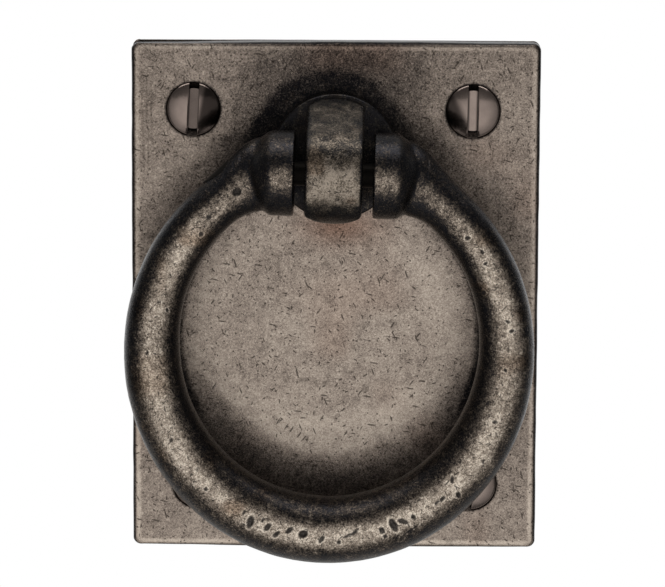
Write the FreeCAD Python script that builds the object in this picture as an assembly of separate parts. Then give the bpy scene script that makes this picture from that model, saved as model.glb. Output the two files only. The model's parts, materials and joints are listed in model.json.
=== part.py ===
import FreeCAD, Part
import math
import os

# Ring pull handle: a plain oblong backplate with a riveted knuckle, and a tapered ring that swings on a pin.
# Millimetres. X runs across the plate, Z up, and the plate faces -Y.
# The origin is the centre of the plate's back face.

# Backplate
plate_width = 50.8
plate_height = 64.0
plate_thickness = 3.2
plate_corner_radius = 0.7
plate_edge_radius = 0.5

# Fixing screws, slotted with a raised countersunk head
screw_side_inset = 8.2
screw_end_inset = 8.45
head_radius = 3.375
head_rise = 0.9
head_half_angle = 45.0
slot_width = 1.25
slot_depth = 1.75
slot_turns = {"upper_left": 2.7, "upper_right": 1.0, "lower_left": 4.0, "lower_right": 8.0}
# How far each hole was drilled from its true place, to the right and upwards
drill_drifts = {
    "upper_left": (-0.45, -0.05),
    "upper_right": (-0.2, -0.15),
    "lower_left": (0.2, -0.1),
    "lower_right": (-0.15, -0.1),
}
shank_radius = 1.4
thread_radius = 1.75
thread_clearance = 0.15
screw_length = 16.0
plain_shank_behind_plate = 2.5
screw_point_length = 3.2

# Knuckle: collar, lug with a round nose and two flats, and a tenon riveted through the plate
collar_from_top = 14.0
collar_radius = 7.85
collar_height = 3.2
collar_edge_radius = 0.4
lug_step = 0.4
nose_radius = 6.05
under_relief = 0.1
tongue_width = 7.0
tenon_radius = 4.0
rivet_flare = 1.0
knuckle_turn = 1.4

# Hinge pin
pin_radius = 1.5
pin_drop = 1.4
pin_clearance = 0.05
pin_seat_depth = 3.4
pin_hole_spare = 0.3

# Ring, with its two end bosses
boss_radius = 5.3
boss_length = 4.3
boss_round = 1.3
boss_side_gap = 1.25
boss_collar_gap = 0.7
arm_rise = 0.3
ring_half_width = 21.74
ring_half_height = 22.82
ring_bottom_diameter = 8.45
ring_end_diameter = 6.15
taper_end_angle = 150.0
flare_start_angle = 139.0
flare_growth = 1.25
flare_lift = 0.35
ring_sections = 41

# Places that follow from the sizes above
plate_front = -plate_thickness
collar_front = plate_front - collar_height
collar_z = plate_height / 2 - collar_from_top
pin_y = collar_front - boss_collar_gap - boss_radius
pin_z = collar_z - pin_drop
boss_inner = tongue_width / 2 + boss_side_gap
boss_middle = boss_inner + boss_length / 2
boss_outer = boss_inner + boss_length
arm_end_angle = 180.0 - math.degrees(math.asin(boss_middle / ring_half_width))
flare_end_angle = 180.0 - math.degrees(math.asin(boss_outer / ring_half_width))
ring_z = pin_z + arm_rise + ring_half_height * math.cos(math.radians(arm_end_angle))
screw_x = plate_width / 2 - screw_side_inset
screw_z = plate_height / 2 - screw_end_inset
head_depth = (head_radius - shank_radius) / math.tan(math.radians(head_half_angle))

along_x = FreeCAD.Vector(1, 0, 0)
along_y = FreeCAD.Vector(0, 1, 0)


def point(x, y, z):
    return FreeCAD.Vector(x, y, z)


def rod(radius, y_from, y_to, x, z):
    return Part.makeCylinder(radius, y_to - y_from, point(x, y_from, z), along_y)


def flare(radius_from, radius_to, y_from, y_to, x, z):
    return Part.makeCone(radius_from, radius_to, y_to - y_from, point(x, y_from, z), along_y)


def pin_rod(radius, x_from, x_to):
    return Part.makeCylinder(radius, x_to - x_from, point(x_from, pin_y, pin_z), along_x)


def set_askew(shape):
    # The knuckle was riveted a little out of true, so all that hangs on it is turned with it.
    turned = shape.copy()
    turned.rotate(point(0, 0, collar_z), along_y, knuckle_turn)
    return turned


def screw_places():
    places = {}
    for height_name, z in (("upper", screw_z), ("lower", -screw_z)):
        for side_name, x in (("left", -screw_x), ("right", screw_x)):
            name = height_name + "_" + side_name
            drift_x, drift_z = drill_drifts[name]
            places[name] = (x + drift_x, z + drift_z)
    return places


def backplate():
    blank = Part.makeBox(
        plate_width, plate_thickness, plate_height, point(-plate_width / 2, plate_front, -plate_height / 2)
    )
    upright = [e for e in blank.Edges if abs(e.BoundBox.YLength - plate_thickness) < 1e-6]
    plate = blank.makeFillet(plate_corner_radius, upright)
    front = [e for e in plate.Edges if e.BoundBox.YMax < plate_front + 1e-6]
    plate = plate.makeFillet(plate_edge_radius, front)
    # Countersunk clearance holes for the screws
    hole_radius = thread_radius + thread_clearance
    seat_depth = (head_radius - hole_radius) / math.tan(math.radians(head_half_angle))
    for x, z in screw_places().values():
        plate = plate.cut(rod(hole_radius, plate_front, 0, x, z))
        plate = plate.cut(flare(head_radius, hole_radius, plate_front, plate_front + seat_depth, x, z))
    # Hole for the tenon, flared at the back for its riveted end
    plate = plate.cut(rod(tenon_radius, plate_front, 0, 0, collar_z))
    plate = plate.cut(flare(tenon_radius, tenon_radius + rivet_flare, -rivet_flare, 0, 0, collar_z))
    return plate


def nose_tangent(start_z, side):
    # The point where a line from the collar's front at this height touches the round nose
    rise = start_z - pin_z
    run = collar_front - pin_y
    bearing = math.atan2(rise, run) + side * math.acos(nose_radius / math.hypot(run, rise))
    return point(0, pin_y + nose_radius * math.cos(bearing), pin_z + nose_radius * math.sin(bearing))


def crown(radius, centre_z, side):
    # An arc about a Y axis, from flat to flat, as seen from the front
    half = tongue_width / 2
    corner_z = centre_z + side * math.sqrt(radius ** 2 - half ** 2)
    ends = [point(x, collar_front, corner_z) for x in (-half, half)]
    return ends, Part.Arc(ends[0], point(0, collar_front, centre_z + side * radius), ends[1]).toShape()


def lug():
    # Side view: straight from the collar, then round about the pin
    top = point(0, collar_front, collar_z + collar_radius)
    bottom = point(0, collar_front, collar_z - collar_radius)
    upper_touch = nose_tangent(top.z, 1)
    lower_touch = nose_tangent(bottom.z, -1)
    nose = Part.Arc(upper_touch, point(0, pin_y - nose_radius, pin_z), lower_touch).toShape()
    side_view = Part.Wire(
        [
            Part.makeLine(top, upper_touch),
            nose,
            Part.makeLine(lower_touch, bottom),
            Part.makeLine(bottom, top),
        ]
    )
    side_prism = Part.Face(side_view).extrude(along_x * (2 * tongue_width))
    side_prism.translate(along_x * -tongue_width)
    # Front view: two flats, with a round crown above and below
    upper_ends, upper = crown(collar_radius - lug_step, collar_z, 1)
    lower_ends, lower = crown(nose_radius - under_relief, pin_z, -1)
    flats = [Part.makeLine(lower_ends[i], upper_ends[i]) for i in (0, 1)]
    front_view = Part.Wire(Part.__sortEdges__([upper, lower] + flats))
    front_prism = Part.Face(front_view).extrude(along_y * -(collar_front - pin_y + 2 * nose_radius))
    return side_prism.common(front_prism)


def knuckle():
    collar = rod(collar_radius, collar_front, plate_front, 0, collar_z)
    rim = [e for e in collar.Edges if e.BoundBox.YMax < collar_front + 1e-6]
    collar = collar.makeFillet(collar_edge_radius, rim)
    tenon = rod(tenon_radius, plate_front, 0, 0, collar_z)
    rivet = flare(tenon_radius, tenon_radius + rivet_flare, -rivet_flare, 0, 0, collar_z)
    body = collar.fuse([lug(), tenon, rivet]).removeSplitter()
    body = body.cut(pin_rod(pin_radius + pin_clearance, -tongue_width, tongue_width))
    return set_askew(body)


def ring_radius(angle):
    share = (1 + math.cos(math.radians(min(abs(angle), taper_end_angle) * 180 / taper_end_angle))) / 2
    return (ring_end_diameter + (ring_bottom_diameter - ring_end_diameter) * share) / 2


def flare_share(angle):
    # 0 along the ring, then rising to 1 where an arm meets its boss
    share = (abs(angle) - flare_start_angle) / (flare_end_angle - flare_start_angle)
    return min(max(share, 0.0), 1.0) ** 2


def ring_section(angle):
    # Angles run along the ring's ellipse from its lowest point, left side negative.
    # Each arm grows taller, but no deeper, towards its boss.
    t = math.radians(angle)
    lean = math.degrees(math.atan2(ring_half_height * math.sin(t), ring_half_width * math.cos(t)))
    depth = ring_radius(angle)
    height = depth + flare_growth * flare_share(angle)
    outwards = -flare_lift * flare_share(angle)
    section = Part.Ellipse(point(0, 0, outwards + height), point(0, depth, outwards), point(0, 0, outwards)).toShape()
    section.rotate(point(0, 0, 0), along_y, -lean)
    section.translate(point(ring_half_width * math.sin(t), pin_y, ring_z - ring_half_height * math.cos(t)))
    return Part.Wire(section)


def boss(side):
    # A round boss about the pin, with its outer edge rounded towards the arm
    x_from = boss_inner if side > 0 else -boss_inner - boss_length
    blank = pin_rod(boss_radius, x_from, x_from + boss_length)
    outer_x = side * boss_outer
    outer = [e for e in blank.Edges if e.BoundBox.XLength < 1e-6 and abs(e.BoundBox.Center.x - outer_x) < 1e-6]
    return blank.makeFillet(boss_round, outer)


def ring_blank():
    step = 2 * arm_end_angle / (ring_sections - 1)
    sections = [ring_section(-arm_end_angle + i * step) for i in range(ring_sections)]
    bow = Part.makeLoft(sections, True)
    return bow.fuse([boss(-1), boss(1)]).removeSplitter()


def ring(blank):
    # The pin hole is drilled through the left arm and ends inside the right boss.
    hole_end = boss_inner + pin_seat_depth + pin_hole_spare
    return set_askew(blank.cut(pin_rod(pin_radius, -ring_half_width, hole_end)))


def hinge_pin(blank):
    # Driven in from the left and dressed flush with the arm
    held = pin_rod(pin_radius, -ring_half_width, boss_inner + pin_seat_depth).common(blank)
    across = pin_rod(pin_radius, -boss_inner, boss_inner)
    return set_askew(across.fuse(held.Solids).removeSplitter())


def screw(x, z, turn):
    thread_start = plain_shank_behind_plate
    tip = plate_front + screw_length
    point_start = tip - screw_point_length
    seat = plate_front + head_depth
    cap_radius = (head_radius ** 2 + head_rise ** 2) / (2 * head_rise)
    cap = Part.makeSphere(cap_radius, point(x, plate_front - head_rise + cap_radius, z))
    cap = cap.common(rod(head_radius, plate_front - head_rise, plate_front, x, z))
    body = cap.fuse(
        [
            flare(head_radius, shank_radius, plate_front, seat, x, z),
            rod(shank_radius, seat, thread_start, x, z),
            rod(thread_radius, thread_start, point_start, x, z),
            flare(thread_radius, 0, point_start, tip, x, z),
        ]
    ).removeSplitter()
    slot = Part.makeBox(
        slot_width, slot_depth, 2 * head_radius, point(x - slot_width / 2, plate_front - head_rise, z - head_radius)
    )
    slot.rotate(point(x, 0, z), along_y, turn)
    return body.cut(slot)


def fixing_screws():
    return Part.makeCompound([screw(x, z, slot_turns[name]) for name, (x, z) in screw_places().items()])


os.makedirs("parts", exist_ok=True)
blank = ring_blank()
pieces = {
    "backplate": backplate(),
    "knuckle": knuckle(),
    "ring": ring(blank),
    "hinge_pin": hinge_pin(blank),
    "fixing_screws": fixing_screws(),
}
for name, shape in pieces.items():
    shape.exportStep("parts/" + name + ".step")
    print(name, "solids", len(shape.Solids), "valid", shape.isValid(), "volume", round(shape.Volume, 3))
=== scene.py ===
import json
import bmesh
import bpy
import numpy as np
from mathutils import Matrix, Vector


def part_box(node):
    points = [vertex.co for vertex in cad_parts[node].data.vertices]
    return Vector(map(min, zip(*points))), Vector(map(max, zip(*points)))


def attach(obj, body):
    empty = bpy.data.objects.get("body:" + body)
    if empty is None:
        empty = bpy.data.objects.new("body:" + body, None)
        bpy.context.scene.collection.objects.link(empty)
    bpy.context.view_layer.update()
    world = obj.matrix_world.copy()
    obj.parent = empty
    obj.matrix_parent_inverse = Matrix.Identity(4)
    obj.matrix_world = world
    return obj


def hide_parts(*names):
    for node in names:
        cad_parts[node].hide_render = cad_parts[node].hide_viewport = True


# Ring pull handle in aged pewter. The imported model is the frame, and the castings are dressed over it.
# Shapes are worked out in millimetres: X across the plate, Z up, and the plate faces -Y.
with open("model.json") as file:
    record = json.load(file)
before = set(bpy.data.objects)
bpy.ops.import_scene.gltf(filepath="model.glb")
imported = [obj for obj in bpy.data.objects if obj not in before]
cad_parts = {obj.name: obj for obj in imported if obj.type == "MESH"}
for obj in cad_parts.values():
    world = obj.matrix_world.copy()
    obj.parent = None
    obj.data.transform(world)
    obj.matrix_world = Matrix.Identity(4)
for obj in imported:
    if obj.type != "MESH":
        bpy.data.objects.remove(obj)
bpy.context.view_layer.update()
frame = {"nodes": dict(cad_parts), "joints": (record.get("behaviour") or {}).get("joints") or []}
mm = 0.001

swing = frame["joints"][0]
pinAxis = np.array(swing["axis"])
askew = np.arctan2(pinAxis[2], -pinAxis[0])  # the knuckle was riveted this far out of true
pinY = swing["pos_m"][1] / mm
collarZ = 18.0
pinZ = collarZ - (collarZ - swing["pos_m"][2] / mm) / np.cos(askew)
plateLow, plateHigh = (np.array(corner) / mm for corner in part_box("backplate"))
plateFront = plateLow[1]


def turnAskew(points):
    # Turns points clockwise, as seen from the front, about the collar's middle.
    x, y, z = np.moveaxis(points, -1, 0)
    up = z - collarZ
    turnedX = x * np.cos(askew) + up * np.sin(askew)
    return np.stack([turnedX, y, collarZ + up * np.cos(askew) - x * np.sin(askew)], -1)


def lumps(points, size, seed):
    # Smooth random heights from -1 to 1, from a random number at each point of a lattice of cells size across
    count = 40
    table = np.random.default_rng(seed).uniform(-1, 1, (count, count, count))
    place = points / size + 500  # keeps every place above 0
    cell = np.floor(place).astype(int)
    part = place - cell
    part = part * part * (3 - 2 * part)
    total = 0
    for corner in np.ndindex(2, 2, 2):
        weight = np.prod(np.where(corner, part, 1 - part), -1)
        total = total + weight * table[tuple(np.moveaxis((cell + corner) % count, -1, 0))]
    return total


def uneven(points, swells, seed):
    # Lumps of several heights and sizes added up, and let down so that none stands above the frame
    layers = [height * (lumps(points, size, seed + number) - 1)
              for number, (height, size) in enumerate(swells)]
    return np.sum(layers, 0)


def ease(low, high, value):
    # 0 below low, 1 above high, and a smooth step between; the other way round where low is the larger
    share = np.clip((value - low) / (high - low), 0, 1)
    return share * share * (3 - 2 * share)


def rampUp(amount, begins, full, value):
    # An amount that grows from where it begins to where it is full
    return amount * ease(begins, full, value)


def ridge(amount, middle, width, value):
    # A bell-shaped ridge, used for wear, stains, scores and painted light
    return amount * np.exp(-((value - middle) / width) ** 2)


def scatterPits(points, normals, places, pits, seed):
    # Random pits on some of the places: each has a way along the surface, half length, half width and depth.
    picks = np.random.default_rng(seed).choice(places, pits["count"], replace=False)
    rng = np.random.default_rng(seed + 1)
    length = rng.uniform(*pits["halfLength"], len(picks))
    along = np.cross(normals[picks], rng.normal(size=(len(picks), 3)))
    along /= np.linalg.norm(along, axis=1)[:, None]
    across = np.cross(normals[picks], along)
    width = length * rng.uniform(*pits["slimness"], len(picks))
    return list(zip(points[picks], along, across, length, width, length * pits["deepness"]))


def pitHollows(points, pits):
    # Each pit is a bowl, as deep as 1 - q, where q is the squared distance from its middle in half lengths
    # and widths. Also gives how dark each point is with what lies in a pit, and how near it is to a lip.
    reach, coreEnd, coreFade, lipMiddle, lipWidth = 1.8, 1.3, 0.5, 1.7, 0.6
    depth, core, lip = np.zeros((3, len(points)))
    for middle, along, across, length, width, deep in pits:
        near = np.flatnonzero(np.abs(points - middle).max(1) < reach * length)
        away = points[near] - middle
        q = (away @ along / length) ** 2 + (away @ across / width) ** 2
        depth[near] = np.maximum(depth[near], deep * np.clip(1 - q, 0, 1))
        core[near] = np.maximum(core[near], np.clip((coreEnd - q) / coreFade, 0, 1))
        lip[near] = np.maximum(lip[near], np.clip(1 - abs(q - lipMiddle) / lipWidth, 0, 1))
    return depth, core, lip


def quadsOf(index, loop=False):
    # Quads between neighbouring lines of a table of point numbers; a loop joins its last column to its first.
    if loop:
        index = np.hstack([index, index[:, :1]])
    return np.stack([index[:-1, :-1], index[:-1, 1:], index[1:, 1:], index[1:, :-1]], -1).reshape(-1, 4)


def gridOf(points, start=0):
    # The numbers of a grid's points, line by line
    return start + np.arange(points.shape[0] * points.shape[1]).reshape(points.shape[:2])


def borderOf(index):
    # Once round the edge of a table of point numbers
    return np.concatenate([index[0, :-1], index[:-1, -1], index[-1, :0:-1], index[:0:-1, 0]])


def readVectors(store, key, count):
    values = np.empty(count * 3)
    store.foreach_get(key, values)
    return values.reshape(-1, 3)


def addPiece(name, points, faces, dress, material, body, node, crease=40):
    # Puts points and faces into a mesh, merges poles and turns faces outwards, then moves the surface along
    # its normals as dress says.
    used, flat = np.unique(np.concatenate([block.ravel() for block in faces]), return_inverse=True)
    ends = np.cumsum([block.size for block in faces])[:-1]
    blocks = [part.reshape(block.shape) for part, block in zip(np.split(flat, ends), faces)]
    mesh = bpy.data.meshes.new(name)
    mesh.from_pydata((points[used] * mm).tolist(), [], [face for block in blocks for face in block.tolist()])
    shell = bmesh.new()
    shell.from_mesh(mesh)
    bmesh.ops.remove_doubles(shell, verts=shell.verts, dist=2e-7)
    bmesh.ops.recalc_face_normals(shell, faces=shell.faces)
    shell.to_mesh(mesh)
    shell.free()
    place = readVectors(mesh.vertices, "co", len(mesh.vertices)) / mm
    normals = readVectors(mesh.vertex_normals, "vector", len(mesh.vertices))
    heights, marks = dress(place, normals)
    mesh.vertices.foreach_set("co", ((place + normals * heights[:, None]) * mm).ravel())
    for mark, values in marks.items():
        mesh.attributes.new(mark, "FLOAT", "POINT").data.foreach_set("value", np.clip(values, 0, 1))
    mesh.shade_smooth()
    mesh.set_sharp_from_angle(angle=np.radians(crease))
    mesh.materials.append(material)
    piece = bpy.data.objects.new(name, mesh)
    bpy.context.scene.collection.objects.link(piece)
    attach(piece, body)
    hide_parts(node)
    mesh.calc_loop_triangles()
    print(name, "triangles", len(mesh.loop_triangles))


def tint(code):
    # sRGB hex to the linear colour that Blender's sockets take
    value = np.array([int(code[i:i + 2], 16) for i in (1, 3, 5)]) / 255
    linear = np.where(value <= 0.04045, value / 12.92, ((value + 0.055) / 1.055) ** 2.4)
    return (*linear.tolist(), 1.0)


def addNode(tree, kind, inputs=None, **settings):
    # One node with its settings; an input is a value, or another node's output to link.
    node = tree.nodes.new("ShaderNode" + kind)
    for name, value in settings.items():
        setattr(node, name, value)
    for socket, value in (inputs or {}).items():
        if isinstance(value, bpy.types.NodeSocket):
            tree.links.new(value, node.inputs[socket])
        else:
            node.inputs[socket].default_value = value
    return node


def newMetal(name):
    # A new bare metal, and what its nodes start from: the tree, the shader and Object coordinates
    material = bpy.data.materials.new(name)
    material.use_nodes = True
    tree = material.node_tree
    shader = tree.nodes["Principled BSDF"]
    shader.inputs["Metallic"].default_value = 1.0
    return material, tree, shader, addNode(tree, "TexCoord").outputs["Object"]


def scatterSpots(tree, vector, spacing, size):
    # 1 near the middle of random cells, as far as half the size, and 0 beyond a soft edge
    cells = addNode(tree, "TexVoronoi", {"Vector": vector, "Scale": 1 / (spacing * mm)})
    reach = size / 2 / spacing
    limits = {"Value": cells.outputs["Distance"], "From Min": 1.2 * reach, "From Max": 0.8 * reach}
    return addNode(tree, "MapRange", limits, interpolation_type="SMOOTHSTEP").outputs[0]


# Aged pewter: a casting blackened all over, then rubbed back until the high places show grey-brown metal.
# The eye gets a soft blurred sheen, a grain of fine dark specks, darker pits and short scratches that hold
# the black. Sizes are in millimetres; shares say how much each pattern breaks up the wear.
plateLook = dict(cloud=9.0, mottle=1.4, speck=0.2, cloudShare=0.25, mottleShare=0.4, speckShare=1.4,
                 tones=((0.0, "#131315"), (0.3, "#544c46"), (0.6, "#93867b"), (1.0, "#cbbdae")),
                 brown="#c08a70", pitBlack="#2b2521", wander=0.4, dotSpacing=0.72, dotSize=0.22,
                 scratchTurns=(5, 35, 65, 100, 130, 160), scratchStretch=5.0, scratchSpacing=0.9,
                 scratchWidth=0.18, ink=0.75, roughBlack=0.36, roughMetal=0.36, bump=0.4)
ringLook = dict(cloud=4.0, mottle=0.8, speck=0.2, cloudShare=0.4, mottleShare=0.8, speckShare=2.0,
                tones=((0.0, "#29292c"), (0.3, "#463f39"), (0.6, "#85796d"), (0.9, "#c0b2a2"),
                       (1.0, "#e6d9c8")),
                brown="#b89a7c", pitBlack="#2c2a2a", wander=0.4, dotSpacing=0.8, dotSize=0.2,
                scratchTurns=(20, 50, 80, 110, 140, 170), scratchStretch=4.0, scratchSpacing=0.6,
                scratchWidth=0.14, ink=0.75, roughBlack=0.27, roughMetal=0.36, bump=0.6)
knuckleLook = dict(ringLook, mottle=1.2, mottleShare=1.3, speckShare=2.3,
                   tones=((0.0, "#262527"), (0.35, "#3d3934"), (0.65, "#6d6358"), (1.0, "#a29688")))


def agedPewter(name, look):
    material, tree, shader, place = newMetal(name)
    cloud = addNode(tree, "TexNoise", {"Vector": place, "Scale": 1 / (look["cloud"] * mm), "Detail": 2.0})
    mottle = addNode(tree, "TexNoise", {"Vector": place, "Scale": 1 / (look["mottle"] * mm), "Detail": 3.0})
    speck = addNode(tree, "TexNoise", {"Vector": place, "Scale": 1 / (look["speck"] * mm), "Detail": 2.0,
                                       "Roughness": 0.7, "Distortion": 1.2})
    # how far the black is rubbed off, from the piece's own wear together with its painted light and shade,
    # broken up by clouds, mottle and specks
    wornAndLit = addNode(tree, "Attribute", attribute_name="rubAndLight").outputs["Fac"]
    for noise, share in ((cloud, "cloudShare"), (mottle, "mottleShare"), (speck, "speckShare")):
        centred = addNode(tree, "Math", {0: noise.outputs["Fac"], 1: 0.5}, operation="SUBTRACT")
        shared = addNode(tree, "Math", {0: centred.outputs[0], 1: look[share], 2: wornAndLit},
                         operation="MULTIPLY_ADD")
        wornAndLit = shared.outputs[0]
    tones = addNode(tree, "ValToRGB", {"Fac": wornAndLit})
    tones.color_ramp.elements.remove(tones.color_ramp.elements[1])
    for number, (stop, code) in enumerate(look["tones"]):
        element = tones.color_ramp.elements.new(stop) if number else tones.color_ramp.elements[0]
        element.position = stop
        element.color = tint(code)
    brown = addNode(tree, "Attribute", attribute_name="brown").outputs["Fac"]
    browned = addNode(tree, "Mix", {0: brown, 6: tones.outputs["Color"], 7: tint(look["brown"])},
                      data_type="RGBA", blend_type="MULTIPLY")
    # dots, pushed about by the mottle, and short scratches: such dots drawn out to several lengths and turns
    push = addNode(tree, "VectorMath", {0: mottle.outputs["Color"], 1: (look["wander"] * mm,) * 3, 2: place},
                   operation="MULTIPLY_ADD").outputs[0]
    marks = scatterSpots(tree, push, look["dotSpacing"], look["dotSize"])
    for turn in look["scratchTurns"]:
        length = look["scratchStretch"] * (0.5 + turn % 60 / 60)
        drawn = addNode(tree, "Mapping", {"Vector": push, "Location": (0, 0, turn * mm),
                                          "Rotation": (0, np.radians(turn), 0), "Scale": (1, 1, length)},
                        vector_type="TEXTURE")
        scratch = scatterSpots(tree, drawn.outputs[0], look["scratchSpacing"], look["scratchWidth"])
        marks = addNode(tree, "Math", {0: marks, 1: scratch}, operation="MAXIMUM").outputs[0]
    inked = addNode(tree, "Math", {0: marks, 1: look["ink"]}, operation="MULTIPLY")
    pit = addNode(tree, "Attribute", attribute_name="pit")
    dark = addNode(tree, "Math", {0: inked.outputs[0], 1: pit.outputs["Fac"]}, operation="MAXIMUM")
    colour = addNode(tree, "Mix", {0: dark.outputs[0], 6: browned.outputs[2], 7: tint(look["pitBlack"])},
                     data_type="RGBA")
    tree.links.new(colour.outputs[2], shader.inputs["Base Color"])
    gloss = addNode(tree, "MapRange", {"Value": wornAndLit, "To Min": look["roughBlack"],
                                       "To Max": look["roughMetal"]})
    tree.links.new(gloss.outputs[0], shader.inputs["Roughness"])
    relief = addNode(tree, "Math", {0: marks, 1: -0.5, 2: speck.outputs["Fac"]}, operation="MULTIPLY_ADD")
    bump = addNode(tree, "Bump", {"Height": relief.outputs[0], "Strength": look["bump"],
                                  "Distance": look["speck"] * 0.3 * mm})
    tree.links.new(bump.outputs[0], shader.inputs["Normal"])
    print(name, "nodes", len(tree.nodes))
    return material


platePewter = agedPewter("agedPewterPlateWithPaintedLight", plateLook)
ringPewter = agedPewter("rubbedPewterRingWithPaintedLight", ringLook)
knucklePewter = agedPewter("rubbedPewterKnuckleWithPaintedLight", knuckleLook)


# Backplate: a flat lattice with its holes punched out, a rounded rim round it, and a plain back.
# Each wear, painted light and painted shade has an amount, where it begins and where it is full; a limit has
# only the two places.
# A stain is a ridge: an amount, with its middle and half width each way.
plate = dict(cell=0.2, backCell=1.3, backInset=0.6, corner=1.0, faceCorner=1.5, edgeRound=0.8,
             backRound=0.15, sideRows=6, sideGap=0.3, holeRadius=1.9, seatRadius=3.42, tenonRadius=4.05,
             rivetFlare=1.0, bow=0.16, topFall=(5, -25), trueRim=(3.45, 4.2), pitRim=4.5,
             faceSwells=((0.03, 7), (0.015, 2.5)), sideSwells=((0.04, 9), (0.03, 2)),
             pits=dict(count=260, halfLength=(0.25, 0.6), slimness=(0.3, 0.8), deepness=0.12), pitDark=0.2,
             faceRub=0.6, backRub=0.5, edgeBlack=(0.55, 0.3, 0.6), seatBlack=(0.3, 3.48, 3.42),
             middleLight=(0.07, 18, 6), middleZ=-6, upperBlack=(0.08, 10, 30),
             rightShade=(0.05, 12, 20), rightLimit=(0, -15), rimHighlight=0.2, lowRimHighlight=(0.15, 0, -25),
             rimLimit=(1.25, 0.85), topShade=(0.13, 22, 30), topLimit=(19, 9),
             ringShadeZ=-5.5, ringShadeUneven=0.4, ringShadeDark=(0.28, 14, 18), ringShadeEnd=(23, 20), ringShadeLimit=(-6, -15),
             loopMiddle=(-0.7, -4.9), loopHalf=(18.85, 19.5), besideShade=(0.5, 0.945, 1.0),
             besideEnd=(1.12, 1.05), besideLow=(-18, -10), besideHigh=(12, 6),
             paleLift=0.09, paleLowLift=0.08, paleEnd=0.95, paleLowShift=0.14, paleLow=(-8, -15),
             paleFades=(0.35, 0.2, 0.08), paleLimit=(12, 3),
             haloX=-0.6, haloUneven=0.5, haloShade=(0.55, 11.2, 8.6), haloFade=(0.2, 17, 10),
             haloLimit=(11, 17), armMiddleZ=-5.4, armHalf=(24.8, 25.9), armUneven=0.02,
             armShade=(0.17, 1.2, 1.02), armEnd=(0.7, 0.9), armLimit=(2, 9),
             stain=0.6, stainMiddle=(0.3, 9.0), stainHalf=(4.5, 2.4), browning=(0.2, 0.2, 0.9),
             topStain=(0.3, 26, 30), topStainX=2, topStainLimit=(9, 3),
             scores=(-22.4, -22.9, -23.5), scoreSlope=-0.02, scoreWidth=0.1, scoreDark=0.35,
             scoreLow=(14, 18), scoreHigh=(29, 26))


def screwPlaces():
    # Middle of each of the four screws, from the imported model
    mesh = frame["nodes"]["fixing_screws"].data
    place = readVectors(mesh.vertices, "co", len(mesh.vertices))[:, [0, 2]] / mm
    corners = [(sideX, sideZ) for sideZ in (1, -1) for sideX in (-1, 1)]
    groups = [place[(place * corner > 0).all(1)] for corner in corners]
    return np.array([(group.min(0) + group.max(0)) / 2 for group in groups])


def plateLattice(width, height, corner, cells):
    # Straight lines both ways, with the square at each corner squeezed into a quarter disc
    lines = [np.linspace(-side / 2, side / 2, count + 1) for side, count in zip((width, height), cells)]
    x, z = np.meshgrid(*lines)
    coreX, coreZ = width / 2 - corner, height / 2 - corner
    u = np.clip((abs(x) - coreX) / corner, 0, 1)
    v = np.clip((abs(z) - coreZ) / corner, 0, 1)
    outX = np.minimum(abs(x), coreX) + corner * u * np.sqrt(1 - v * v / 2)
    outZ = np.minimum(abs(z), coreZ) + corner * v * np.sqrt(1 - u * u / 2)
    return np.sign(x) * outX, np.sign(z) * outZ


def punch(x, z, circles):
    # Leaves out the quads whose middle lies in a circle, and slides the points of each cut edge onto it.
    index = np.arange(x.size).reshape(x.shape)
    quads = quadsOf(index)
    x, z = x.ravel().copy(), z.ravel().copy()
    loops = []
    for middleX, middleZ, radius in circles:
        inside = np.hypot(x[quads].mean(1) - middleX, z[quads].mean(1) - middleZ) < radius
        edge = np.intersect1d(quads[inside], quads[~inside])
        angle = np.arctan2(z[edge] - middleZ, x[edge] - middleX)
        x[edge] = middleX + radius * np.cos(angle)
        z[edge] = middleZ + radius * np.sin(angle)
        loops.append(edge[np.argsort(angle)])
        quads = quads[~inside]
    return x, z, quads, borderOf(index), loops


def zipLoops(first, firstAngle, second, secondAngle):
    # Triangles between two loops in order of angle: each goes on along the loop whose next angle is first.
    order = np.argsort(np.concatenate([firstAngle, secondAngle]), kind="stable")
    onFirst = order < len(first)
    i, j = np.cumsum(onFirst) - 1, np.cumsum(~onFirst) - 1
    return np.where(onFirst[:, None], np.stack([first[i - 1], first[i], second[j]], 1),
                    np.stack([first[i], second[j], second[j - 1]], 1))


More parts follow.
